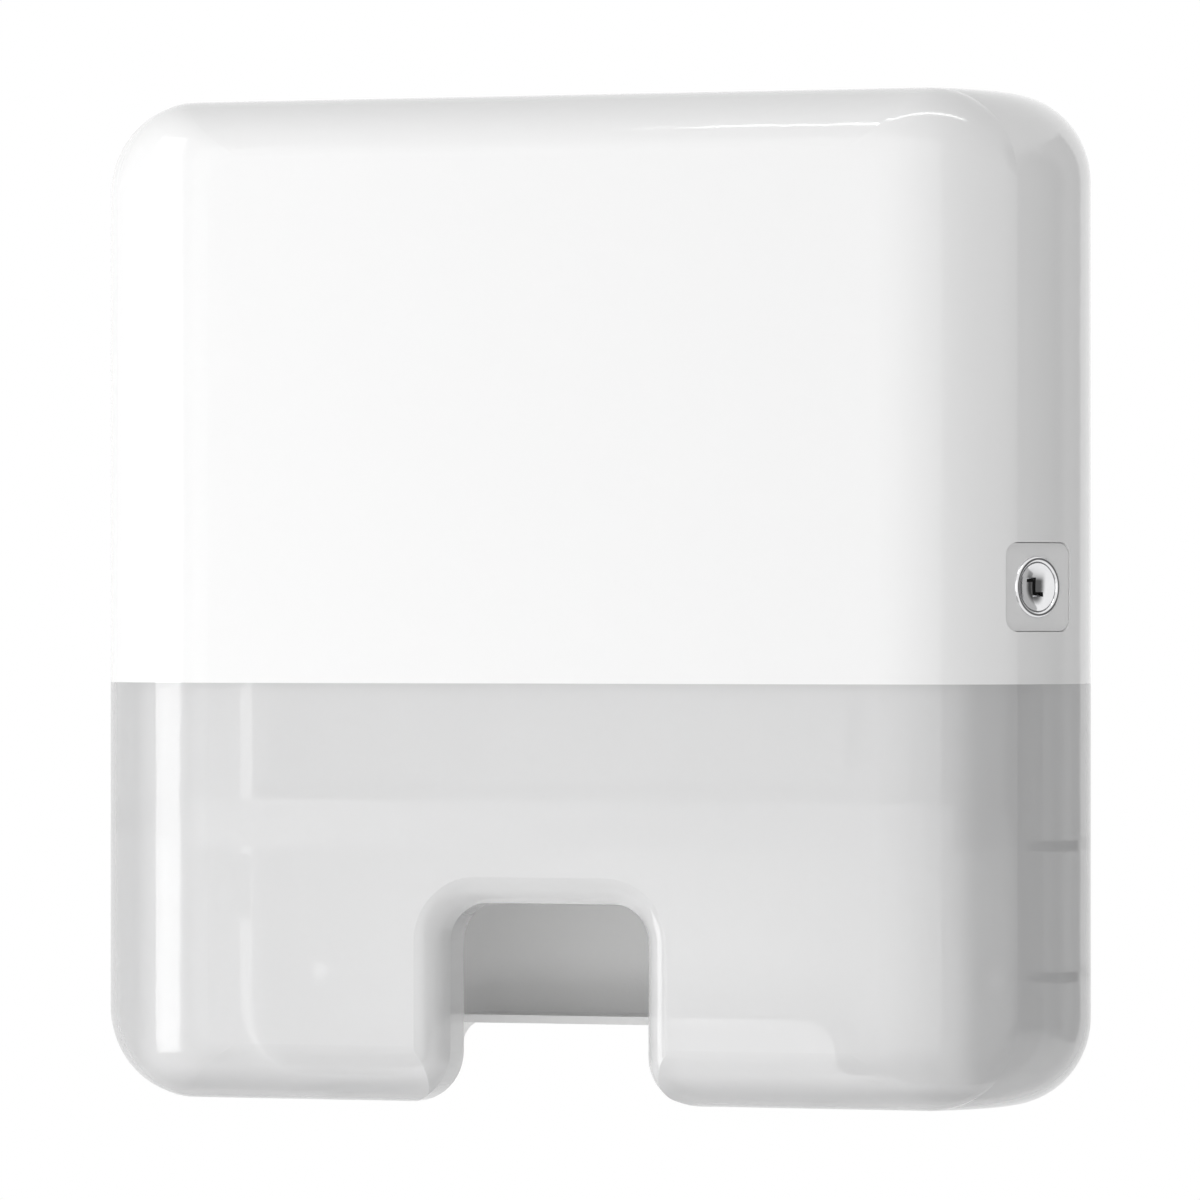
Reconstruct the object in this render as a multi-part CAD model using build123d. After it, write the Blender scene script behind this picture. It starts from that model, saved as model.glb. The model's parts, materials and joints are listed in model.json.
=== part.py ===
from build123d import *
import math
import os

# Wall-hung towel dispenser. X runs to the right, the wall is the plane Y = 0,
# the front looks along -Y and Z is up. The origin is the middle of the back face.

# Overall shell
WIDTH = 302.0
HEIGHT = 295.0
DEPTH = 101.0
WALL = 2.6
SIDE_RADIUS = 47.0
SIDE_SWEEP = 112.0
TOP_RADIUS = 17.0
CORNER_RADIUS = 26.0
FRONT_CORNER_RADIUS = 9.0
RIM_GAP = 6.0
SPLIT_Z = -24.5
LAP_HEIGHT = 8.0
LAP_WALL = 1.6
CUT = 1.0

# Hand notch in the lower cover
NOTCH_WIDTH = 62.0
NOTCH_HEIGHT = 58.5
NOTCH_TOP_RADIUS = 11.0
NOTCH_FOOT_RADIUS = 15.0
NOTCH_ROLL = 9.0
NOTCH_WALL_DEPTH = 20.0
NOTCH_BACK_RISE = 7.8
NOTCH_OPEN_BEHIND = 12.0

# Back housing
HOUSING_WALL = 2.4
HOUSING_DEPTH = 22.0
HOUSING_SIDE_GAP = 10.5
HOUSING_TOP_GAP = 1.6
HOUSING_CORNER = 18.0
LEG_WIDTH = 60.0
LEG_RADIUS = 8.0
LEG_STRAIGHT = 0.3
RIB_DEPTH = 5.0
RIB_WALL = 2.0
RIB_HALF_SPACING = 62.0
RIB_LEVEL_Z = 68.0
RIB_TRAY_GAP = 7.0
RIB_TOP_GAP = 23.0

# Wall screws
SCREW_SPACING_X = 216.0
SCREW_SPACING_Z = 226.0
SCREW_HOLE_R = 2.75
SCREW_SEAT_R = 6.0
SCREW_SEAT_DEPTH = 1.0

# Hinge on the left edge
HINGE_SIDE_GAP = 4.5
HINGE_Y = -12.0
HINGE_PIN_R = 2.0
HINGE_BORE_CLEAR = 0.08
KNUCKLE_R = 3.6
LUG_R = 3.4
LUG_HEIGHT = 3.0
KNUCKLE_HEIGHT = 12.0
KNUCKLE_GAP = 0.4
ARM_DEPTH = 6.0
HINGE_Z = 88.0
PIN_HEAD_R = 3.0
PIN_HEAD_HEIGHT = 1.2

# Towel tray and guides
TRAY_RISE = 18.0
TRAY_WALL = 2.2
TRAY_UPSTAND = 14.0
TRAY_SIDE_LIP = 8.0
TRAY_SCREW_X = 60.0
TRAY_FRONT_GAP = 21.0
TRAY_LIP = 12.0
TRAY_SLOT_HALF = 82.0
TRAY_SLOT_BACK_Y = -22.0
TRAY_SLOT_FRONT_Y = -72.0
TRAY_SLOT_RADIUS = 8.0
GUIDE_TOP_GAP = 51.0
GUIDE_DEPTH = 24.0
GUIDE_WALL = 2.0
GUIDE_FLANGE = 12.0
GUIDE_CLEAR = 0.3

# Lock on the right side
LOCK_ANGLE = 61.5
LOCK_Z = 3.5
LOCK_PLATE = 25.4
LOCK_PLATE_CORNER = 4.0
LOCK_PLATE_CLEAR = 0.2
LOCK_FACE_DEPTH = 2.2
LOCK_FLANGE = 30.0
LOCK_FLANGE_WALL = 2.6
LOCK_SEAT_DEPTH = 8.1
LOCK_CUT = 8.0
LOCK_RING_R = 8.95
LOCK_RING_PROUD = 0.9
LOCK_RING_BEVEL = 0.6
RING_CLEAR = 0.3
BARREL_R = 8.2
BARREL_LENGTH = 22.8
ROTOR_R = 6.9
ROTOR_CLEAR = 0.08
ROTOR_PROUD = 0.3
ROTOR_DISH_DEPTH = 1.6
KEYWAY_WIDTH = 1.3
KEYWAY_LENGTH = 3.5
KEYWAY_STEP = 2.1
KEYWAY_ARM = 3.9
KEYWAY_DEPTH = 7.0
NUT_HEIGHT = 3.0
NUT_R = 12.0
CAM_WALL = 2.0
CAM_WIDTH = 10.0
CAM_REACH = 33.0
CAM_NOSE = 3.5
CAM_NOSE_DEPTH = 12.8
CAM_GAP = 0.3
CAM_SCREW_R = 2.0
CAM_SCREW_HEAD_R = 3.4
CAM_SCREW_HEAD = 1.8
CAM_SCREW_LENGTH = 8.0

# Keeper on the housing
KEEPER_WALL = 2.6
KEEPER_HALF_HEIGHT = 9.0
KEEPER_SET_BACK = 10.0
KEEPER_HOOK = 4.4
KEEPER_BACK_Y = -5.0
KEEPER_SCREW_Z = 5.0
KEEPER_SCREW_Y = -12.0

# Small screws
SMALL_SCREW_R = 1.5
SMALL_HEAD_R = 2.9
SMALL_HEAD = 1.6

# Ledges inside the clear cover
LEDGE_REACH = 15.0
LEDGE_FRONT_Y = -62.0
LEDGE_BACK_Y = -26.0
LEFT_LEDGES = ((-69.0, -61.5),)
RIGHT_LEDGES = ((-73.0, -70.0), (-111.0, -108.0))

SIDE_CENTRE_X = WIDTH / 2 - SIDE_RADIUS
SIDE_CENTRE_Y = -(DEPTH - SIDE_RADIUS)
SWEEP_RAD = math.radians(SIDE_SWEEP)
ROLL_STEPS = (0, 8, 17, 27, 38, 50, 62, 76, 90)
SIDE_STEPS = 6
NOTCH_STEPS = (0, 18, 36, 52, 66, 76, 84)


def side_half_width(y, inset):
    """Half width of the shell at the depth y, set in by the given wall."""
    radius = SIDE_RADIUS - inset
    back_y = SIDE_CENTRE_Y - radius * math.cos(SWEEP_RAD)
    if y > back_y:
        back_x = SIDE_CENTRE_X + radius * math.sin(SWEEP_RAD)
        return back_x + (y - back_y) / math.tan(SWEEP_RAD)
    rise = min(max(y - SIDE_CENTRE_Y, -radius), radius)
    return SIDE_CENTRE_X + math.sqrt(radius * radius - rise * rise)


HINGE_X = HINGE_SIDE_GAP - side_half_width(HINGE_Y, WALL)
HOUSING_HALF_WIDTH = side_half_width(-RIM_GAP, WALL) - HOUSING_SIDE_GAP
INNER_X = HOUSING_HALF_WIDTH - HOUSING_WALL
HOUSING_TOP = HEIGHT / 2 - WALL - HOUSING_TOP_GAP
LEG_HEIGHT = 2 * LEG_RADIUS + LEG_STRAIGHT
LEG_INNER_X = HOUSING_HALF_WIDTH - LEG_WIDTH
OPEN_X = LEG_INNER_X + NOTCH_OPEN_BEHIND
PLATE_Y = -HOUSING_WALL
NOTCH_TOP_Z = NOTCH_HEIGHT - HEIGHT / 2
TRAY_Z = NOTCH_TOP_Z + TRAY_RISE
TRAY_FRONT_Y = TRAY_FRONT_GAP - DEPTH
TRAY_SCREW_Z = TRAY_Z + TRAY_UPSTAND / 2
RIB_LOW_Z = TRAY_Z + TRAY_UPSTAND + RIB_TRAY_GAP
RIB_HIGH_Z = HOUSING_TOP - RIB_TOP_GAP
GUIDE_X = INNER_X - TRAY_WALL - GUIDE_CLEAR
GUIDE_FRONT_Y = PLATE_Y - GUIDE_DEPTH
GUIDE_TOP_Z = HOUSING_TOP - GUIDE_TOP_GAP
KEEPER_FRONT_Y = SIDE_CENTRE_Y + KEEPER_SET_BACK
LOCK_FACE = SIDE_RADIUS - LOCK_FACE_DEPTH
LOCK_PLATE_BACK = SIDE_RADIUS - LOCK_SEAT_DEPTH
LOCK_BACK = LOCK_FACE - BARREL_LENGTH
CAM_TOP = LOCK_BACK - CAM_GAP
CAM_BASE = CAM_TOP - CAM_WALL


def top_half_height(y, inset):
    """Half height of the shell at the depth y, set in by the given wall."""
    radius = TOP_RADIUS - inset
    start_y = -(DEPTH - TOP_RADIUS)
    if y >= start_y:
        return HEIGHT / 2 - inset
    drop = min(start_y - y, radius)
    return HEIGHT / 2 - TOP_RADIUS + math.sqrt(radius * radius - drop * drop)


def corner_radius(y, inset):
    """Corner radius of the outline at the depth y."""
    start_y = -(DEPTH - TOP_RADIUS)
    if y >= start_y:
        return CORNER_RADIUS - inset
    share = (start_y - y) / TOP_RADIUS
    return CORNER_RADIUS - inset - (CORNER_RADIUS - FRONT_CORNER_RADIUS) * share


def outline_at(y, inset):
    """Rounded outline of the shell at the depth y, set in by the given wall."""
    outline = RectangleRounded(
        2 * side_half_width(y, inset),
        2 * top_half_height(y, inset),
        corner_radius(y, inset),
    )
    return Plane.XZ.offset(-y) * outline


def shell_solid(inset, back_y):
    """Closed body of the cover, inset from the outside, from back_y to the front."""
    roll = TOP_RADIUS - inset
    roll_y = -(DEPTH - TOP_RADIUS)
    front_depths = [roll_y - roll * math.cos(math.radians(a)) for a in ROLL_STEPS]
    radius = SIDE_RADIUS - inset
    first = math.degrees(math.acos((SIDE_CENTRE_Y - roll_y) / radius))
    side_angles = [first + (SIDE_SWEEP - first) * k / SIDE_STEPS for k in range(SIDE_STEPS + 1)]
    side_depths = [SIDE_CENTRE_Y - radius * math.cos(math.radians(a)) for a in side_angles]
    front = loft([outline_at(y, inset) for y in front_depths])
    middle = loft([outline_at(y, inset) for y in side_depths])
    back = loft([outline_at(side_depths[-1], inset), outline_at(back_y, inset)], ruled=True)
    return front + middle + back


def block(x0, x1, y0, y1, z0, z1):
    """Box given by its faces."""
    centre = Location(((x0 + x1) / 2, (y0 + y1) / 2, (z0 + z1) / 2))
    return centre * Box(abs(x1 - x0), abs(y1 - y0), abs(z1 - z0))


def notch_face(y, grow):
    """Outline of the hand notch, widened by grow, in the plane at the depth y."""
    half = NOTCH_WIDTH / 2 + grow
    top = NOTCH_TOP_Z + grow
    foot = -HEIGHT / 2 + grow
    top_r = NOTCH_TOP_RADIUS + grow
    foot_r = NOTCH_FOOT_RADIUS - grow
    below = -HEIGHT / 2 - NOTCH_FOOT_RADIUS
    turn = math.sqrt(0.5)
    edges = []
    for side in (-1, 1):
        edges.append(Line((side * (half + foot_r), below), (side * (half + foot_r), foot)))
        edges.append(
            ThreePointArc(
                (side * (half + foot_r), foot),
                (side * (half + foot_r * (1 - turn)), foot + foot_r * (1 - turn)),
                (side * half, foot + foot_r),
            )
        )
        edges.append(Line((side * half, foot + foot_r), (side * half, top - top_r)))
        edges.append(
            ThreePointArc(
                (side * half, top - top_r),
                (side * (half - top_r * (1 - turn)), top - top_r * (1 - turn)),
                (side * (half - top_r), top),
            )
        )
    edges.append(Line((-(half - top_r), top), (half - top_r, top)))
    edges.append(Line((-(half + foot_r), below), (half + foot_r, below)))
    return Plane.XZ.offset(-y) * make_face(edges)


def notch_cutter(inset):
    """Notch prism whose front edge flares out in a quarter round."""
    roll = NOTCH_ROLL - inset
    front_y = -(DEPTH - inset)
    straight = loft([notch_face(CUT, inset), notch_face(front_y + roll, inset)], ruled=True)
    sections = []
    for angle in NOTCH_STEPS:
        a = math.radians(angle)
        y = front_y + roll - roll * math.sin(a)
        sections.append(notch_face(y, inset + roll * (1 - math.cos(a))))
    flare = loft(sections)
    cap = extrude(sections[-1], amount=NOTCH_ROLL, dir=(0, -1, 0))
    return [straight, flare, cap]


def lock_axes():
    """Centre of the side arc beside the lock and the direction in which the lock looks."""
    angle = math.radians(LOCK_ANGLE)
    out = Vector(math.sin(angle), -math.cos(angle), 0)
    centre = Vector(SIDE_CENTRE_X, SIDE_CENTRE_Y, LOCK_Z)
    return centre, out


def lock_plane(distance):
    """Plane square to the lock's axis, with its x towards the wall side and y up."""
    centre, out = lock_axes()
    side = Vector(math.cos(math.radians(LOCK_ANGLE)), math.sin(math.radians(LOCK_ANGLE)), 0)
    return Plane(origin=centre + out * distance, x_dir=side, z_dir=out)


def disc(radius, start, end):
    """Cylinder on the lock's axis from one distance to another."""
    return extrude(lock_plane(start) * Circle(radius), amount=end - start)


def pad(width, corner, start, end):
    """Rounded square plate on the lock's axis."""
    return extrude(lock_plane(start) * RectangleRounded(width, width, corner), amount=end - start)


def cover_shell():
    """Whole cover before it is divided into its white and its clear part."""
    outer = shell_solid(0.0, -RIM_GAP)
    for cutter in notch_cutter(0.0):
        outer = outer - cutter
    inner = shell_solid(WALL, CUT)
    for cutter in notch_cutter(WALL):
        inner = inner - cutter
    shell = outer - inner
    reach = NOTCH_WIDTH / 2 + NOTCH_FOOT_RADIUS + WALL
    near_y = NOTCH_WALL_DEPTH - DEPTH
    foot = WALL - HEIGHT / 2
    behind = block(-reach, reach, near_y, CUT, foot, NOTCH_TOP_Z + NOTCH_BACK_RISE)
    under = block(-OPEN_X, OPEN_X, near_y, CUT, foot - WALL - CUT, foot)
    return shell - behind - under


def side_ledge(side, low, high):
    """Ledge on the inside of the cover's side wall."""
    x0 = side * (WIDTH / 2 - LEDGE_REACH)
    x1 = side * WIDTH / 2
    strip = block(x0, x1, LEDGE_FRONT_Y, LEDGE_BACK_Y, low, high)
    return strip & shell_solid(WALL / 2, -RIM_GAP)


def cover_parts():
    """White upper cover and clear lower cover with its lap behind the upper one."""
    shell = cover_shell()
    far = WIDTH
    above = block(-far, far, -far, far, SPLIT_Z, far)
    below = block(-far, far, -far, far, -far, SPLIT_Z)
    upper = shell & above
    lower = shell & below
    band = block(-far, far, -far, -RIM_GAP, SPLIT_Z, SPLIT_Z + LAP_HEIGHT)
    lining = shell_solid(WALL, -RIM_GAP) - shell_solid(WALL + LAP_WALL, CUT)
    root = block(-far, far, -far, -RIM_GAP, SPLIT_Z - LAP_WALL, SPLIT_Z)
    lower = lower + (lining & band) + (lining & root)
    for low, high in LEFT_LEDGES:
        lower = lower + side_ledge(-1, low, high)
    for low, high in RIGHT_LEDGES:
        lower = lower + side_ledge(1, low, high)
    window = LOCK_PLATE + 2 * LOCK_PLATE_CLEAR
    upper = upper - pad(window, LOCK_PLATE_CORNER, LOCK_FACE - LOCK_CUT, SIDE_RADIUS + LOCK_CUT)
    seat = LOCK_FLANGE + 2 * LOCK_PLATE_CLEAR
    upper = upper - pad(seat, LOCK_PLATE_CORNER, LOCK_FACE - LOCK_CUT, LOCK_PLATE_BACK)
    return upper, lower


def tube_z(x, y, radius, z0, z1):
    """Upright cylinder."""
    return Location((x, y, (z0 + z1) / 2)) * Cylinder(radius, abs(z1 - z0))


def bore_y(x, z, radius, y0, y1):
    """Cylinder along Y."""
    return extrude(Plane.XZ.offset(-y1) * Location((x, z)) * Circle(radius), amount=y1 - y0)


def bore_x(y, z, radius, x0, x1):
    """Cylinder along X."""
    return extrude(Plane.YZ.offset(x0) * Location((y, z)) * Circle(radius), amount=x1 - x0)


def housing_outline():
    """Back plate outline: rounded, with a raised lower edge between two legs."""
    whole = RectangleRounded(2 * HOUSING_HALF_WIDTH, 2 * HOUSING_TOP, HOUSING_CORNER)
    gap = Location((0, LEG_HEIGHT / 2 - HOUSING_TOP)) * Rectangle(2 * LEG_INNER_X, LEG_HEIGHT)
    outline = whole - gap
    soft = [
        v
        for v in outline.vertices()
        if abs(abs(v.X) - LEG_INNER_X) < 1e-3
    ]
    return fillet(soft, LEG_RADIUS)


def hinge_levels():
    """Heights of the two hinge knuckles."""
    return (HINGE_Z, -HINGE_Z)


def screw_places():
    """Wall screw places on the back plate."""
    return [
        (x * SCREW_SPACING_X / 2, z * SCREW_SPACING_Z / 2)
        for x in (-1, 1)
        for z in (-1, 1)
    ]


def back_housing():
    """Wall plate with its rim, ribs, screw seats and hinge lugs."""
    outline = housing_outline()
    ring = outline - offset(outline, amount=-HOUSING_WALL)
    plate = extrude(Plane.XZ * outline, amount=HOUSING_WALL)
    rim = extrude(Plane.XZ * ring, amount=HOUSING_DEPTH)
    body = plate + rim
    rib_y = PLATE_Y - RIB_DEPTH
    for side in (-1, 1):
        x = side * RIB_HALF_SPACING
        body += block(x - RIB_WALL / 2, x + RIB_WALL / 2, rib_y, PLATE_Y, RIB_LOW_Z, RIB_HIGH_Z)
    for z in (RIB_LEVEL_Z, 0.0):
        low, high = z - RIB_WALL / 2, z + RIB_WALL / 2
        body += block(-RIB_HALF_SPACING, RIB_HALF_SPACING, rib_y, PLATE_Y, low, high)
    for x, z in screw_places():
        body += bore_y(x, z, SCREW_SEAT_R + RIB_WALL, PLATE_Y - SCREW_SEAT_DEPTH, PLATE_Y)
        body -= bore_y(x, z, SCREW_SEAT_R, PLATE_Y - 2 * SCREW_SEAT_DEPTH, PLATE_Y)
        body -= bore_y(x, z, SCREW_HOLE_R, 2 * PLATE_Y, -2 * PLATE_Y)
    for level in hinge_levels():
        for sign in (-1, 1):
            near = level + sign * (KNUCKLE_HEIGHT / 2 + KNUCKLE_GAP)
            far = near + sign * LUG_HEIGHT
            low, high = min(near, far), max(near, far)
            lug = tube_z(HINGE_X, HINGE_Y, LUG_R, low, high)
            lug += block(HINGE_X, -HOUSING_HALF_WIDTH, HINGE_Y - LUG_R, HINGE_Y + LUG_R, low, high)
            body += lug
            body -= tube_z(HINGE_X, HINGE_Y, HINGE_PIN_R, low, high)
    for side in (-1, 1):
        body -= bore_y(side * TRAY_SCREW_X, TRAY_SCREW_Z, SMALL_SCREW_R, PLATE_Y, 0.0)
        z = LOCK_Z + side * KEEPER_SCREW_Z
        body -= bore_x(KEEPER_SCREW_Y, z, SMALL_SCREW_R, INNER_X, HOUSING_HALF_WIDTH)
    return body


def hinge_pin(level):
    """Headed hinge pin through the two lugs and the knuckle."""
    half = KNUCKLE_HEIGHT / 2 + KNUCKLE_GAP + LUG_HEIGHT
    pin = tube_z(HINGE_X, HINGE_Y, HINGE_PIN_R, level - half, level + half)
    head = tube_z(HINGE_X, HINGE_Y, PIN_HEAD_R, level + half, level + half + PIN_HEAD_HEIGHT)
    return pin + head


def hinge_arm(level):
    """Knuckle with the arm that joins it to the inside of the cover."""
    low, high = level - KNUCKLE_HEIGHT / 2, level + KNUCKLE_HEIGHT / 2
    arm = block(-WIDTH / 2, HINGE_X, HINGE_Y - ARM_DEPTH, HINGE_Y, low, high)
    arm = arm & shell_solid(WALL, -RIM_GAP)
    arm += tube_z(HINGE_X, HINGE_Y, KNUCKLE_R, low, high)
    arm -= tube_z(HINGE_X, HINGE_Y, HINGE_PIN_R + HINGE_BORE_CLEAR, low, high)
    return arm


def towel_tray():
    """Tray that carries the stack, with the draw slot over the notch."""
    floor = TRAY_Z - TRAY_WALL
    body = block(-INNER_X, INNER_X, TRAY_FRONT_Y, PLATE_Y, floor, TRAY_Z)
    slot_x = 2 * TRAY_SLOT_HALF
    slot_y = TRAY_SLOT_BACK_Y - TRAY_SLOT_FRONT_Y
    slot = RectangleRounded(slot_x, slot_y, TRAY_SLOT_RADIUS)
    middle_y = (TRAY_SLOT_BACK_Y + TRAY_SLOT_FRONT_Y) / 2
    body -= extrude(Plane.XY.offset(floor) * Location((0, middle_y)) * slot, amount=TRAY_WALL)
    body += block(-INNER_X, INNER_X, TRAY_FRONT_Y, TRAY_FRONT_Y + TRAY_WALL, TRAY_Z, TRAY_Z + TRAY_LIP)
    upstand = block(
        -TRAY_SLOT_HALF, TRAY_SLOT_HALF,
        PLATE_Y - TRAY_WALL, PLATE_Y,
        TRAY_Z, TRAY_Z + TRAY_UPSTAND,
    )
    body += upstand
    for side in (-1, 1):
        x0 = side * (INNER_X - TRAY_WALL)
        x1 = side * INNER_X
        body += block(min(x0, x1), max(x0, x1), TRAY_FRONT_Y, PLATE_Y, TRAY_Z, TRAY_Z + TRAY_SIDE_LIP)
        body -= bore_y(side * TRAY_SCREW_X, TRAY_SCREW_Z, SMALL_SCREW_R, PLATE_Y - TRAY_WALL, PLATE_Y)
    return body


def stack_guide(side):
    """Upright guide beside the stack, with a flange on the back plate."""
    outer = side * GUIDE_X
    inner = side * (GUIDE_X - GUIDE_WALL)
    wing = side * (GUIDE_X - GUIDE_FLANGE)
    body = block(min(outer, inner), max(outer, inner), GUIDE_FRONT_Y, PLATE_Y, TRAY_Z, GUIDE_TOP_Z)
    body += block(min(outer, wing), max(outer, wing), PLATE_Y - GUIDE_WALL, PLATE_Y, TRAY_Z, GUIDE_TOP_Z)
    return body


def small_screw_y(x, z, head_y):
    """Pan-head screw driven towards the wall."""
    head = bore_y(x, z, SMALL_HEAD_R, head_y - SMALL_HEAD, head_y)
    shank = bore_y(x, z, SMALL_SCREW_R, head_y, 0.0)
    return head + shank


def small_screw_x(y, z, head_x):
    """Pan-head screw driven towards the middle of the housing."""
    head = bore_x(y, z, SMALL_HEAD_R, head_x, head_x + SMALL_HEAD)
    shank = bore_x(y, z, SMALL_SCREW_R, INNER_X, head_x)
    return head + shank


def tray_screws():
    """The two screws that hold the tray on the back plate."""
    head_y = PLATE_Y - TRAY_WALL
    places = (-TRAY_SCREW_X, TRAY_SCREW_X)
    return Compound(children=[small_screw_y(x, TRAY_SCREW_Z, head_y) for x in places])


def keeper_screws():
    """The two screws that hold the keeper on the housing's side."""
    head_x = HOUSING_HALF_WIDTH + KEEPER_WALL
    places = (LOCK_Z - KEEPER_SCREW_Z, LOCK_Z + KEEPER_SCREW_Z)
    return Compound(children=[small_screw_x(KEEPER_SCREW_Y, z, head_x) for z in places])


def lock_keeper():
    """Hooked strap on the housing that the cam's nose catches behind."""
    x0 = HOUSING_HALF_WIDTH
    x1 = x0 + KEEPER_WALL
    low, high = LOCK_Z - KEEPER_HALF_HEIGHT, LOCK_Z + KEEPER_HALF_HEIGHT
    hook_y = KEEPER_FRONT_Y + KEEPER_WALL
    body = block(x0, x1, KEEPER_FRONT_Y, KEEPER_BACK_Y, low, high)
    body += block(x1, x1 + KEEPER_HOOK, KEEPER_FRONT_Y, hook_y, low, high)
    for side in (-1, 1):
        body -= bore_x(KEEPER_SCREW_Y, LOCK_Z + side * KEEPER_SCREW_Z, SMALL_SCREW_R, x0, x1)
    return body


def lock_plate():
    """White escutcheon with a flange behind the cover's wall."""
    body = pad(LOCK_PLATE, LOCK_PLATE_CORNER - LOCK_PLATE_CLEAR, LOCK_PLATE_BACK, LOCK_FACE)
    flange = pad(LOCK_FLANGE, LOCK_PLATE_CORNER, LOCK_PLATE_BACK - LOCK_FLANGE_WALL, LOCK_PLATE_BACK)
    body = body + flange
    return body - disc(BARREL_R, LOCK_PLATE_BACK - LOCK_FLANGE_WALL, LOCK_FACE)


def lock_ring():
    """Chrome ring on the escutcheon."""
    top = LOCK_FACE + LOCK_RING_PROUD
    ring = disc(LOCK_RING_R, LOCK_FACE, top) - disc(ROTOR_R + RING_CLEAR, LOCK_FACE, top)
    centre = lock_axes()[0]
    rims = [e for e in ring.edges().filter_by(GeomType.CIRCLE) if e.radius > ROTOR_R + RING_CLEAR]
    rims = [e for e in rims if abs(e.radius - LOCK_RING_R) < CUT]
    front = max(rims, key=lambda e: (e.arc_center - centre).length)
    return chamfer([front], LOCK_RING_BEVEL)


def lock_barrel():
    """Barrel that the rotor turns in."""
    return disc(BARREL_R, LOCK_BACK, LOCK_FACE) - disc(ROTOR_R + ROTOR_CLEAR, LOCK_BACK, LOCK_FACE)


def lock_nut():
    """Hexagon nut that clamps the barrel behind the flange."""
    end = LOCK_PLATE_BACK - LOCK_FLANGE_WALL
    hexagon = extrude(lock_plane(end - NUT_HEIGHT) * RegularPolygon(NUT_R, 6), amount=NUT_HEIGHT)
    return hexagon - disc(BARREL_R, end - NUT_HEIGHT, end)


def lock_rotor():
    """Dished rotor with its keyway."""
    front = LOCK_FACE + ROTOR_PROUD
    body = disc(ROTOR_R, CAM_TOP, front)
    ball_r = (ROTOR_R ** 2 + ROTOR_DISH_DEPTH ** 2) / (2 * ROTOR_DISH_DEPTH)
    centre, out = lock_axes()
    at = centre + out * (front - ROTOR_DISH_DEPTH + ball_r)
    body -= Location((at.X, at.Y, at.Z)) * Sphere(ball_r)
    start = front - ROTOR_DISH_DEPTH - KEYWAY_DEPTH
    keyway = Rectangle(KEYWAY_WIDTH, KEYWAY_LENGTH)
    for sign in (-1, 1):
        at = Location((-sign * KEYWAY_WIDTH, sign * KEYWAY_STEP))
        keyway += at * Rectangle(KEYWAY_ARM, KEYWAY_WIDTH)
    body -= extrude(lock_plane(start) * keyway, amount=front - start)
    body -= disc(CAM_SCREW_R, CAM_TOP, CAM_BASE + CAM_SCREW_LENGTH)
    return body


def lock_cam():
    """Cam with its turned nose, standing upright where the lock is released."""
    plane = lock_plane(CAM_BASE)
    tongue = Location((0, CAM_REACH / 2)) * Rectangle(CAM_WIDTH, CAM_REACH)
    hub = Circle(ROTOR_R)
    body = extrude(plane * (tongue + hub), amount=CAM_WALL)
    nose = Location((0, CAM_REACH - CAM_NOSE / 2)) * Rectangle(CAM_WIDTH, CAM_NOSE)
    body += extrude(plane * nose, amount=-(CAM_NOSE_DEPTH - CAM_WALL))
    return body - disc(CAM_SCREW_R, CAM_BASE, CAM_TOP)


def cam_screw():
    """Screw that holds the cam on the rotor."""
    head = disc(CAM_SCREW_HEAD_R, CAM_BASE - CAM_SCREW_HEAD, CAM_BASE)
    return head + disc(CAM_SCREW_R, CAM_BASE, CAM_BASE + CAM_SCREW_LENGTH)


def write(name, shape):
    """Save one sub-part."""
    export_step(shape, f"parts/{name}.step")


os.makedirs("parts", exist_ok=True)
upper_cover, lower_cover = cover_parts()
write("upper_cover", upper_cover)
write("lower_cover", lower_cover)
write("back_housing", back_housing())
write("towel_tray", towel_tray())
write("left_stack_guide", stack_guide(-1))
write("right_stack_guide", stack_guide(1))
write("upper_hinge_pin", hinge_pin(HINGE_Z))
write("lower_hinge_pin", hinge_pin(-HINGE_Z))
write("upper_hinge_arm", hinge_arm(HINGE_Z))
write("lower_hinge_arm", hinge_arm(-HINGE_Z))
write("lock_keeper", lock_keeper())
write("lock_plate", lock_plate())
write("lock_ring", lock_ring())
write("lock_barrel", lock_barrel())
write("lock_nut", lock_nut())
write("lock_rotor", lock_rotor())
write("lock_cam", lock_cam())
write("cam_screw", cam_screw())
write("tray_screws", tray_screws())
write("keeper_screws", keeper_screws())
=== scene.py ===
import json
import math

import bmesh
import bpy
from mathutils import Matrix, Vector


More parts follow.
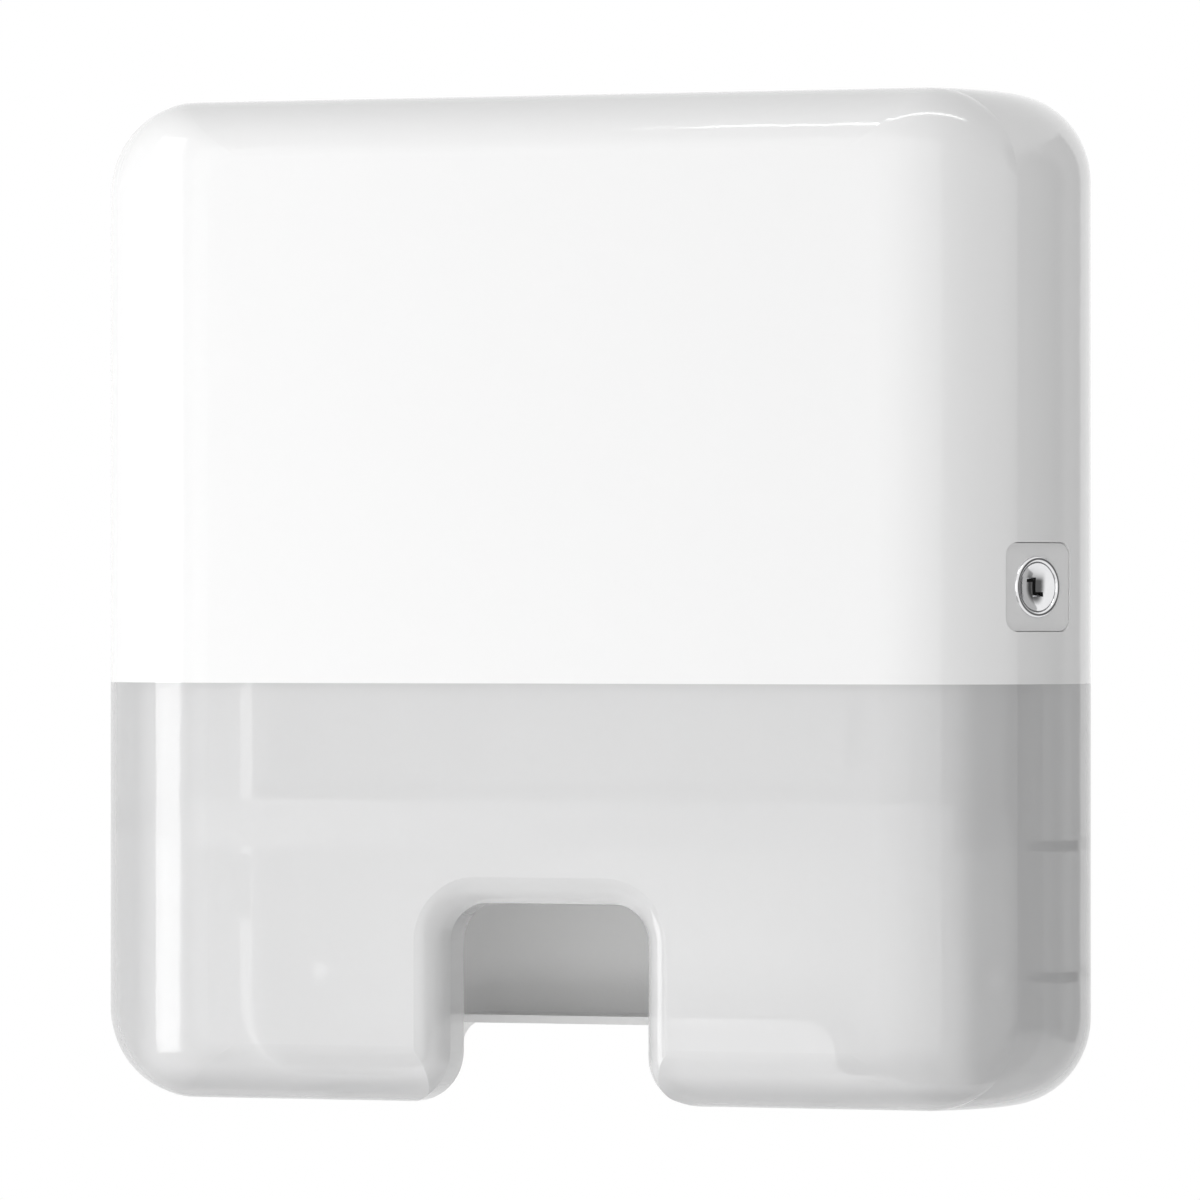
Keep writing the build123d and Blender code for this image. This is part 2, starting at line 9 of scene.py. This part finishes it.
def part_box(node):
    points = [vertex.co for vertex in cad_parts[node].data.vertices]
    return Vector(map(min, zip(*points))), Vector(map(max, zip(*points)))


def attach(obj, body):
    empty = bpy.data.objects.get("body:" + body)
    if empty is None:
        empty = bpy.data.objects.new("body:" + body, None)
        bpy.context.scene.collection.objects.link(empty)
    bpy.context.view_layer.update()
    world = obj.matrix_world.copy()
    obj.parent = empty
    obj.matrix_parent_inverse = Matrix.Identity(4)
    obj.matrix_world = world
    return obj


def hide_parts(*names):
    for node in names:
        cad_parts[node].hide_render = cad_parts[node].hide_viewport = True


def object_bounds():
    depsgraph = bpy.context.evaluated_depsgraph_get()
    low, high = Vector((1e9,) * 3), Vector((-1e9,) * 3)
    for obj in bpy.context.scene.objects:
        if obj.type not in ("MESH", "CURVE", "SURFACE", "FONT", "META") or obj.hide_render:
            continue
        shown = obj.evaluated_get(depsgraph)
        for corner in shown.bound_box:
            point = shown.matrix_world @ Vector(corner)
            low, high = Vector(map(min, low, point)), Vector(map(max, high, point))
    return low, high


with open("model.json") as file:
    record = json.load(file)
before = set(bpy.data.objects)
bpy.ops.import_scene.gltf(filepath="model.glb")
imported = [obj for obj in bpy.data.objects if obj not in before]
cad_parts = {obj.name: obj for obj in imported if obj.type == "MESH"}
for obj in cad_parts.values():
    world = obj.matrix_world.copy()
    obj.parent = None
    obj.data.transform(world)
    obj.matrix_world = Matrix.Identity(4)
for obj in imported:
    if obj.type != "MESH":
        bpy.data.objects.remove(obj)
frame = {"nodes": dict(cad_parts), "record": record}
cad_low, cad_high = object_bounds()
nodes = frame["nodes"]


# Back housing. One white injection-moulded plate with a rim, ribs, screw seats and the
# hinge lugs, in polystyrene with a fine satin mould texture. It is screwed flat on the wall.

FLOW_SCALE = 9.0
FLOW_DETAIL = 3.0
GRAIN_DETAIL = 2.0
GRAIN_RELIEF = 0.0002
GLOSS_LEAST = 0.85
GLOSS_SPREAD = 0.3
PLASTIC_IOR = 1.5
COAT_ROUGHNESS = 0.03


class Socket:
    """A shader socket that takes part in plain sums, which add Math nodes."""

    def __init__(self, tree, socket=None, made=None):
        self.tree = tree
        self.socket = socket
        self.made = made

    def node(self, kind, values=(), **settings):
        """Adds a node, its settings first and then its values or links: its first output."""
        made = self.tree.nodes.new(kind)
        for name, value in settings.items():
            setattr(made, name, value)
        pairs = values.items() if isinstance(values, dict) else enumerate(values)
        for name, value in pairs:
            if isinstance(value, Socket):
                value.into(made.inputs[name])
            elif value is not None:
                made.inputs[name].default_value = value
        return Socket(self.tree, made.outputs[0], made)

    def out(self, name):
        """Another output of the same node."""
        return Socket(self.tree, self.made.outputs[name], self.made)

    def into(self, target):
        """Links this socket to an input."""
        self.tree.links.new(self.socket, target)

    def maths(self, operation, first, second=None):
        return self.node("ShaderNodeMath", (first, second), operation=operation)

    def __add__(self, other):
        return self.maths("ADD", self, other)

    __radd__ = __add__

    def __sub__(self, other):
        return self.maths("SUBTRACT", self, other)

    def __rsub__(self, other):
        return self.maths("SUBTRACT", other, self)

    def __mul__(self, other):
        return self.maths("MULTIPLY", self, other)

    def __abs__(self):
        return self.maths("ABSOLUTE", self)


def fresh(name):
    """A new material, the start of its tree, and its shader's inputs."""
    material = bpy.data.materials.new(name)
    material.use_nodes = True
    tree = material.node_tree
    return material, Socket(tree), tree.nodes["Principled BSDF"].inputs


def noise(start, scale, detail):
    """Noise fixed to the piece."""
    place = start.node("ShaderNodeTexCoord").out("Object")
    values = {"Vector": place, "Scale": scale, "Detail": detail}
    return start.node("ShaderNodeTexNoise", values).out("Fac")


def blend(start, factor, first, second):
    """Mixes two colours, each a socket or red, green and blue."""
    first, second = (
        colour if isinstance(colour, Socket) else (*colour, 1.0) for colour in (first, second)
    )
    values = {0: factor, 6: first, 7: second}
    return start.node("ShaderNodeMix", values, data_type="RGBA").out(2)


def relief(start, strength, distance, height):
    """Bump from a height."""
    values = {"Strength": strength, "Distance": distance, "Height": height}
    return start.node("ShaderNodeBump", values)


def shade(colour, factor):
    """The same colour, darker."""
    return tuple(part * factor for part in colour)


def plastic(name, colour, roughness, grain, grain_size, coat=0.0, mottle=0.015):
    """Moulded plastic with a faint flow mottle and the mould's surface grain."""
    material, start, inputs = fresh(name)
    flow = noise(start, FLOW_SCALE, FLOW_DETAIL)
    fine = noise(start, grain_size, GRAIN_DETAIL)
    blend(start, flow, shade(colour, 1 - mottle), colour).into(inputs["Base Color"])
    gloss = roughness * GLOSS_LEAST + flow * (roughness * GLOSS_SPREAD)
    gloss.into(inputs["Roughness"])
    relief(start, grain, GRAIN_RELIEF, fine).into(inputs["Normal"])
    inputs["IOR"].default_value = PLASTIC_IOR
    inputs["Coat Weight"].default_value = coat
    inputs["Coat Roughness"].default_value = COAT_ROUGHNESS
    return material


def dress(material, *names):
    """Gives the CAD nodes their material."""
    for name in names:
        mesh = nodes[name].data
        mesh.materials.clear()
        mesh.materials.append(material)


housing_white = plastic(
    "housing_white", (0.92, 0.92, 0.915), roughness=0.38, grain=0.25, grain_size=1400.0
)
dress(housing_white, "back_housing", "upper_hinge_arm", "lower_hinge_arm")


# Tray and stack guides. Pale grey mouldings that carry the folded stack over the draw slot
# and keep it straight. The tray is screwed to the housing, the guides clip on its plate.

tray_grey = plastic(
    "tray_grey", (0.87, 0.87, 0.87), roughness=0.42, grain=0.3, grain_size=1200.0
)
dress(tray_grey, "towel_tray", "left_stack_guide", "right_stack_guide")


# Upper cover. Glossy white plastic shell, moulded in one with rolled edges in a polished
# mould, and joined by a lap along a straight line to the clear lower part.

POLISH = {"grain": 0.03, "grain_size": 260.0}

white_gloss = plastic(
    "white_gloss", (0.88, 0.88, 0.88), roughness=0.14, coat=0.6, mottle=0.008, **POLISH
)
dress(white_gloss, "upper_cover")


# Lower cover. Smoky clear plastic part of the same shell, moulded with the hand notch and
# its rolled lip, through which the towels that are left can be seen. Where its wall rolls
# round at the sides and at the foot, it is painted darker and made to hide more: painted
# shade for the darker look of those edges. The ledges are darker too.

CLEAR_FLAT = (0.94, 0.94, 0.945)
CLEAR_EDGE_SHADE = (0.70, 0.70, 0.705)
FLAT_ALPHA = 0.53
EDGE_ALPHA = 0.64
SIDE_FADE = (0.1235, 0.1315)
FOOT_FADE = (0.136, 0.144)


def ramp(start, value, low, high):
    """Smooth rise from 0 to 1 between two values."""
    return start.node(
        "ShaderNodeMapRange", (value, low, high), interpolation_type="SMOOTHSTEP"
    )


smoky_clear = plastic(
    "smoky_clear", CLEAR_FLAT, roughness=0.10, coat=1.0, mottle=0.01, **POLISH
)
clear = Socket(smoky_clear.node_tree)
clear_inputs = clear.tree.nodes["Principled BSDF"].inputs
spot = clear.node(
    "ShaderNodeSeparateXYZ", (clear.node("ShaderNodeTexCoord").out("Object"),)
)
# Masks for the rolled sides and foot, which get painted shade: a darker colour and more cover.
across = abs(spot.out("X"))
side = ramp(clear, across, *SIDE_FADE)
foot = ramp(clear, 0.0 - spot.out("Z"), *FOOT_FADE)
edge_shade = clear.maths("MAXIMUM", side, foot)
flat_tint = Socket(clear.tree, clear_inputs["Base Color"].links[0].from_socket)
tint = blend(clear, edge_shade, flat_tint, CLEAR_EDGE_SHADE)
cover = edge_shade * (EDGE_ALPHA - FLAT_ALPHA) + FLAT_ALPHA

# The ledges inside the side walls are solid plastic, so they are darker and hide more.
# Each is given by its wall (1 right, -1 left), its level and half its height.
LEDGE_TONE = (0.30, 0.30, 0.30)
LEDGE_ALPHA = 0.92
LEDGE_REACH = (0.1355, 0.1478)
LEDGE_FRONT = -0.0625
LEDGES = ((1, -0.0715, 0.0020), (1, -0.1095, 0.0020), (-1, -0.0653, 0.0042))

inside = clear.maths("GREATER_THAN", across, LEDGE_REACH[0])
inside = inside * clear.maths("LESS_THAN", across, LEDGE_REACH[1])
inside = inside * clear.maths("GREATER_THAN", spot.out("Y"), LEDGE_FRONT)
for wall, level, half in LEDGES:
    band = clear.maths("LESS_THAN", abs(spot.out("Z") - level), half)
    band = band * clear.maths("GREATER_THAN", spot.out("X") * wall, 0.0) * inside
    cover = cover * (1 - band) + band * LEDGE_ALPHA
    tint = blend(clear, band, tint, LEDGE_TONE)
tint.into(clear_inputs["Base Color"])
cover.into(clear_inputs["Alpha"])
dress(smoky_clear, "lower_cover")


# Lock. A white plate let into the rounded side, a chromed and polished ring and dished rotor
# with its keyway, and behind them the cast zinc barrel, held by a nut on its thread, the
# stamped steel cam on the rotor's end and the keeper screwed to the housing.

WEAR_DETAIL = 4.0
WEAR_SHADE = 0.9
WEAR_STRENGTH = 0.05
WEAR_RELIEF = 0.0001
WELD = 1e-7


def metal(name, colour, roughness, scratch, scale):
    """Metal with fine wear in its roughness and a faint surface relief."""
    material, start, inputs = fresh(name)
    wear = noise(start, scale, WEAR_DETAIL)
    blend(start, wear, shade(colour, WEAR_SHADE), colour).into(inputs["Base Color"])
    rough = wear * scratch + roughness
    rough.into(inputs["Roughness"])
    relief(start, WEAR_STRENGTH, WEAR_RELIEF, wear).into(inputs["Normal"])
    inputs["Metallic"].default_value = 1.0
    return material


chrome = metal("chrome", (0.86, 0.86, 0.87), roughness=0.06, scratch=0.05, scale=500.0)
zinc = metal("lock_zinc", (0.55, 0.55, 0.56), roughness=0.35, scratch=0.2, scale=700.0)
steel = metal("steel", (0.62, 0.62, 0.62), roughness=0.28, scratch=0.2, scale=900.0)
dress(white_gloss, "lock_plate")
dress(chrome, "lock_ring", "lock_rotor")
dress(zinc, "lock_barrel")
dress(steel, "lock_nut", "lock_cam", "lock_keeper", "cam_screw")

joints = frame["record"]["behaviour"]["joints"]
lock_joint = next(joint for joint in joints if joint["name"] == "lock_turn")
lock_out = -Vector(lock_joint["axis"]).normalized()
lock_centre = Vector(lock_joint["pos_m"])


def along_lock(point):
    """Distance of a point along the lock's axis."""
    return (Vector(point) - lock_centre).dot(lock_out)


def middle(node):
    """Middle of a CAD node's box."""
    low, high = (Vector(corner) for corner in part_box(node))
    return (low + high) / 2


def on_axis(origin, out):
    """Placing for a mesh whose own Z looks along out, with its Y upright."""
    return Matrix.Translation(origin) @ out.to_track_quat("Z", "Y").to_matrix().to_4x4()


def finished(name, mesh, material, body):
    """Turns a bmesh into a piece that rides on a body."""
    bmesh.ops.remove_doubles(mesh, verts=mesh.verts, dist=WELD)
    bmesh.ops.recalc_face_normals(mesh, faces=mesh.faces)
    data = bpy.data.meshes.new(name)
    mesh.to_mesh(data)
    mesh.free()
    data.materials.append(material)
    piece = bpy.data.objects.new(name, data)
    bpy.context.collection.objects.link(piece)
    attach(piece, body)
    return piece


def turned(profile, steps, placing):
    """Smooth closed ring, turned about its own Z from radius and height pairs."""
    mesh = bmesh.new()
    points = [mesh.verts.new((radius, 0, height)) for radius, height in profile]
    edges = [mesh.edges.new(pair) for pair in zip(points, points[1:])]
    bmesh.ops.spin(
        mesh, geom=points + edges, axis=(0, 0, 1), cent=(0, 0, 0),
        angle=math.tau, steps=steps, use_merge=True,
    )
    for face in mesh.faces:
        face.smooth = True
    bmesh.ops.transform(mesh, matrix=placing, verts=mesh.verts)
    return mesh


# The ring's rounded lip, pressed and polished, which catches the light on its left side.
RING_OUT = 0.00895
RING_IN = 0.0072
RING_PROUD = 0.0009
LIP_EDGE = 0.25
LIP_STEPS = 10
LIP_TURNS = 96

ring_seat = along_lock(middle("lock_ring")) - RING_PROUD / 2
lip = [(RING_IN, 0.0)]
for step in range(LIP_STEPS + 1):
    turn = math.pi * step / LIP_STEPS
    radius = (RING_OUT + RING_IN) / 2 - (RING_OUT - RING_IN) / 2 * math.cos(turn)
    lip.append((radius, RING_PROUD * (LIP_EDGE + (1 - LIP_EDGE) * math.sin(turn))))
lip += [(RING_OUT, 0.0), (RING_IN, 0.0)]
lip_mesh = turned(lip, LIP_TURNS, on_axis(lock_centre + lock_out * ring_seat, lock_out))
ring_lip = finished("lock_ring_lip", lip_mesh, chrome, "cover")
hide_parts("lock_ring")

# A black block in the key slot, where the wafers sit: painted shade for the dark passage behind
# it.
SLOT_DARK = (0.0062, 0.0048, 0.0004)
SLOT_DEPTH = 0.0023

keyway_shade_black = metal("keyway_shade_black", (0.02, 0.02, 0.02), roughness=0.55, scratch=0.2, scale=900.0)
slot_mesh = bmesh.new()
bmesh.ops.create_cube(slot_mesh, size=1.0)
bmesh.ops.scale(slot_mesh, vec=SLOT_DARK, verts=slot_mesh.verts)
slot_place = on_axis(lock_centre + lock_out * (ring_seat - SLOT_DEPTH), lock_out)
bmesh.ops.transform(slot_mesh, matrix=slot_place, verts=slot_mesh.verts)
finished("key_slot_shade", slot_mesh, keyway_shade_black, "lock_cylinder")


# Pins and small screws. Zinc-plated steel: headed pins pressed into the housing's lugs, and
# pan-head screws with a cross recess that hold the tray, the keeper and the cam.

PAN_R = 0.0029
RECESS_DEPTH = 0.0004
RECESS_SPAN = 0.0030
RECESS_WIDTH = 0.00065
RECESS_TURN = math.radians(30)
CAM_SCREW_BODY = 0.008
CAM_SCREW_HEAD = 0.0018
CAM_RECESS_SCALE = 1.3

dress(steel, "upper_hinge_pin", "lower_hinge_pin", "tray_screws", "keeper_screws")
# The cross recesses are thin boxes in dark grey: painted shade for their hollows.
recess_shade = metal("recess_shade", (0.16, 0.16, 0.16), roughness=0.5, scratch=0.2, scale=900.0)


def recess(mesh, place, out, scale=1.0):
    """Adds a cross recess on a screw head, as a cross of thin boxes drawn dark: painted shade.
    """
    for turn in (0, math.pi / 2):
        made = bmesh.ops.create_cube(mesh, size=1.0)["verts"]
        bmesh.ops.scale(
            mesh, vec=(RECESS_SPAN * scale, RECESS_WIDTH * scale, RECESS_DEPTH), verts=made
        )
        bmesh.ops.rotate(mesh, matrix=Matrix.Rotation(turn + RECESS_TURN, 3, "Z"), verts=made)
        bmesh.ops.transform(mesh, matrix=on_axis(place, out), verts=made)


screw_low, screw_high = (Vector(corner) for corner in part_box("tray_screws"))
keeper_low, keeper_high = (Vector(corner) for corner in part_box("keeper_screws"))
small_recesses = bmesh.new()
for x in (screw_low.x + PAN_R, screw_high.x - PAN_R):
    place = Vector((x, screw_low.y, (screw_low.z + screw_high.z) / 2))
    recess(small_recesses, place, Vector((0, -1, 0)))
for z in (keeper_low.z + PAN_R, keeper_high.z - PAN_R):
    place = Vector((keeper_high.x, (keeper_low.y + keeper_high.y) / 2, z))
    recess(small_recesses, place, Vector((1, 0, 0)))
finished("screw_recesses", small_recesses, recess_shade, "housing")

head_off = along_lock(middle("cam_screw")) - (CAM_SCREW_BODY + CAM_SCREW_HEAD) / 2
cam_recess = bmesh.new()
recess(cam_recess, lock_centre + lock_out * head_off, -lock_out, CAM_RECESS_SCALE)
finished("cam_screw_recess", cam_recess, recess_shade, "lock_cylinder")


# Floor and surroundings. A plain pale floor well below the dispenser and an even surround.
# Both show white to the camera and in gloss, and in gloss they have a darker side at the right.
# Seen through the clear wall they are dimmed to half: painted shade behind the dispenser.

FLOOR_DROP = 0.45
FLOOR_HALF = 6.0
FLOOR_TONE = (0.9, 0.9, 0.9, 1.0)
FLOOR_ROUGHNESS = 0.8
WHITE = (1.0, 1.0, 1.0, 1.0)
FILL_LEVEL = 0.42
THROUGH_SHADE = 0.5
DARK_SIDE = (0.970, 0.242, 0.0)
DARK_FACING = (0.866, 0.961)
DARK_LEVEL = 0.12
DARK_FLOOR = (0.8, 3.5)


def dark_side(start, toward):
    """1 towards the studio's dark side, at the right, and 0 elsewhere."""
    straight = start.node("ShaderNodeVectorMath", (toward,), operation="NORMALIZE")
    facing = start.node("ShaderNodeVectorMath", (straight, DARK_SIDE), operation="DOT_PRODUCT")
    return ramp(start, facing.out("Value"), *DARK_FACING)


def behind_clear(light_path):
    """1 where the camera looks through a clear wall."""
    return light_path.maths("MINIMUM", light_path.out("Transparent Depth"), 1.0)


def shows_white(light_path):
    """1 for the rays that see the plain white: the camera's, mirrored and bent ones."""
    rays = light_path.out("Is Camera Ray") + light_path.out("Is Glossy Ray")
    rays = rays + light_path.out("Is Transmission Ray")
    return light_path.maths("MINIMUM", rays, 1.0)


bpy.ops.mesh.primitive_plane_add(
    size=2 * FLOOR_HALF, location=(0, 0, cad_low.z - FLOOR_DROP)
)
floor = bpy.context.object
floor.name = "floor"
floor_white, floor_start, floor_inputs = fresh("floor_white")
floor_inputs["Base Color"].default_value = FLOOR_TONE
floor_inputs["Roughness"].default_value = FLOOR_ROUGHNESS
floor_nodes = floor_white.node_tree.nodes
floor_path = floor_start.node("ShaderNodeLightPath")
# Dimmed to half where seen through the clear wall: painted shade.
floor_level = 1 - behind_clear(floor_path) * (1 - THROUGH_SHADE)
floor_spot = floor_start.node("ShaderNodeTexCoord").out("Object")
far_off = floor_start.node("ShaderNodeVectorMath", (floor_spot,), operation="LENGTH")
floor_dark = dark_side(floor_start, floor_spot)
floor_dark = floor_dark * ramp(floor_start, far_off.out("Value"), *DARK_FLOOR)
floor_dark = floor_dark * floor_path.out("Is Glossy Ray")
floor_level = floor_level * (1 - floor_dark * (1 - DARK_LEVEL))
floor_glow = floor_start.node("ShaderNodeEmission", {"Color": WHITE, "Strength": floor_level})
floor_plain = Socket(floor_white.node_tree, floor_nodes["Principled BSDF"].outputs[0])
floor_mix = floor_start.node(
    "ShaderNodeMixShader", (shows_white(floor_path), floor_plain, floor_glow)
)
floor_mix.into(floor_nodes["Material Output"].inputs["Surface"])
floor.data.materials.append(floor_white)

world = bpy.data.worlds.new("surround")
bpy.context.scene.world = world
world.use_nodes = True
world_start = Socket(world.node_tree)
path = world_start.node("ShaderNodeLightPath")
seen = shows_white(path)
dark = dark_side(world_start, world_start.node("ShaderNodeTexCoord").out("Generated"))
dark = dark * path.out("Is Glossy Ray")
brightness = (seen * (1 - FILL_LEVEL) + FILL_LEVEL) * (1 - dark * (1 - DARK_LEVEL))
# Dimmed to half where seen through the clear wall: painted shade.
brightness = brightness * (1 - behind_clear(path) * (1 - THROUGH_SHADE))
background = world.node_tree.nodes["Background"]
background.inputs["Color"].default_value = WHITE
brightness.into(background.inputs["Strength"])


# Lamps. A tall soft box on the left, a long strip above, a soft front fill, a weak box
# behind the right edge that lifts it, and one below that lights the hand notch. The last
# two would show as hard-edged patches in gloss, so they are hidden there.

def soft_box(name, place, aim, width, height, power, in_gloss=True):
    """Rectangular studio lamp that looks at a point."""
    lamp = bpy.data.lights.new(name, "AREA")
    lamp.shape = "RECTANGLE"
    lamp.size = width
    lamp.size_y = height
    lamp.energy = power
    box = bpy.data.objects.new(name, lamp)
    bpy.context.collection.objects.link(box)
    box.location = place
    box.rotation_euler = (Vector(aim) - Vector(place)).to_track_quat("-Z", "Y").to_euler()
    box.visible_glossy = in_gloss


soft_box("left_box", (-1.202, -0.811, 0.1), (0, 0, 0), width=0.54, height=1.3, power=9.0)
soft_box("top_strip", (0.25, -0.75, 0.95), (0, 0, 0.1), width=1.3, height=0.07, power=2.0)
soft_box("front_fill", (-0.18, -2.6, -0.1), (0, 0, 0), width=3.2, height=2.0, power=22.4)
soft_box(
    "right_edge", (1.3, 1.1, 0.1), (0, 0, 0),
    width=1.2, height=1.8, power=5.0, in_gloss=False,
)
soft_box(
    "low_fill", (-0.05, -0.62, -0.52), (0, -0.03, -0.13),
    width=0.9, height=0.4, power=1.2, in_gloss=False,
)


# Camera. Level, a little to the right of the dispenser's middle and a little below it,
# with a long lens, as it was fitted to the picture.

CAMERA_AZIMUTH = math.radians(19.565)
CAMERA_DISTANCE = 2.760
CAMERA_DROP = 0.0053
AIM_LEFT = 0.01673
LENS = 275.0
SENSOR_WIDTH = 36.0

camera_data = bpy.data.cameras.new("camera")
camera_data.lens = LENS
camera_data.sensor_width = SENSOR_WIDTH
camera = bpy.data.objects.new("camera", camera_data)
bpy.context.collection.objects.link(camera)
camera.location = (
    CAMERA_DISTANCE * math.sin(CAMERA_AZIMUTH),
    -CAMERA_DISTANCE * math.cos(CAMERA_AZIMUTH),
    -CAMERA_DROP,
)
aim = Vector((
    -AIM_LEFT * math.cos(CAMERA_AZIMUTH),
    -AIM_LEFT * math.sin(CAMERA_AZIMUTH),
    0.0,
))
camera.rotation_euler = (aim - camera.location).to_track_quat("-Z", "Y").to_euler()
bpy.context.scene.camera = camera
bpy.context.scene.view_settings.view_transform = "Standard"
